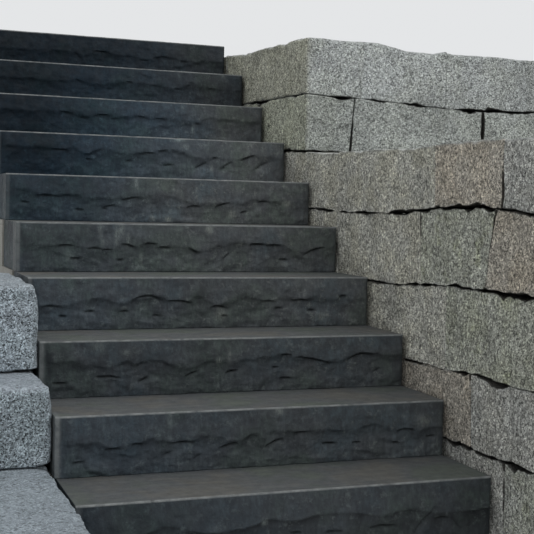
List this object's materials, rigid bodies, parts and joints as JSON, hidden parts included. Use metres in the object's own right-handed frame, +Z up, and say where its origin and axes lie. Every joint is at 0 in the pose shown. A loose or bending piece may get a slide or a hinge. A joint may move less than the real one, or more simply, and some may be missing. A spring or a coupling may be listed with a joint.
{
  "type": "outdoor stone steps",
  "caption": "Straight flight of rock-faced basalt block steps beside a tall dry-laid granite retaining wall that turns a corner, with a low stepped granite cheek on the left.",
  "frame": {"origin": "on the ground, at the middle of the foot of the first riser", "axes": "+Z up, +Y up the flight, +X to the right of somebody who climbs it"},
  "size_m": [2.806, 3.49, 1.72],
  "materials": {
    "basalt": "rock-faced risers, flamed treads",
    "wall_granite": "split and pitched",
    "tier_granite": "split and pitched",
    "cheek_granite": "split and pitched",
    "concrete": "board-marked concrete"
  },
  "bodies": {
    "root": {"step_01": "basalt", "step_02": "basalt", "step_03": "basalt", "step_04": "basalt", "step_05": "basalt", "step_06": "basalt", "step_07": "basalt", "step_08": "basalt", "step_09": "basalt", "step_10": "basalt", "foundation": "concrete", "wall_course_1_stone_1": "wall_granite", "wall_course_1_stone_2": "wall_granite", "wall_course_1_rear_stones": "wall_granite", "wall_course_2_stone_1": "wall_granite", "wall_course_2_stone_2": "wall_granite", "wall_course_2_rear_stones": "wall_granite", "wall_course_3_stone_1": "wall_granite", "wall_course_3_stone_2": "wall_granite", "wall_course_3_stone_3": "wall_granite", "wall_course_3_rear_stones": "wall_granite", "wall_course_4_stone_1": "wall_granite", "wall_course_4_stone_2": "wall_granite", "wall_course_4_stone_3": "wall_granite", "wall_course_4_rear_stones": "wall_granite", "wall_course_5_stone_1": "wall_granite", "wall_course_5_stone_2": "wall_granite", "wall_course_5_stone_3": "wall_granite", "wall_course_5_rear_stones": "wall_granite", "tier_corner_stone": "tier_granite", "tier_return_stone_1": "tier_granite", "tier_return_stone_2": "tier_granite", "tier_rear_stone": "tier_granite", "tier_corner_slab": "tier_granite", "tier_return_slab": "tier_granite", "tier_rear_slab": "tier_granite", "cheek_course_1_stone_1": "cheek_granite", "cheek_course_1_stone_2": "cheek_granite", "cheek_course_1_stone_3": "cheek_granite", "cheek_course_2_stone_1": "cheek_granite", "cheek_course_2_stone_2": "cheek_granite", "cheek_course_3_stone_1": "cheek_granite"}
  },
  "joints": []
}
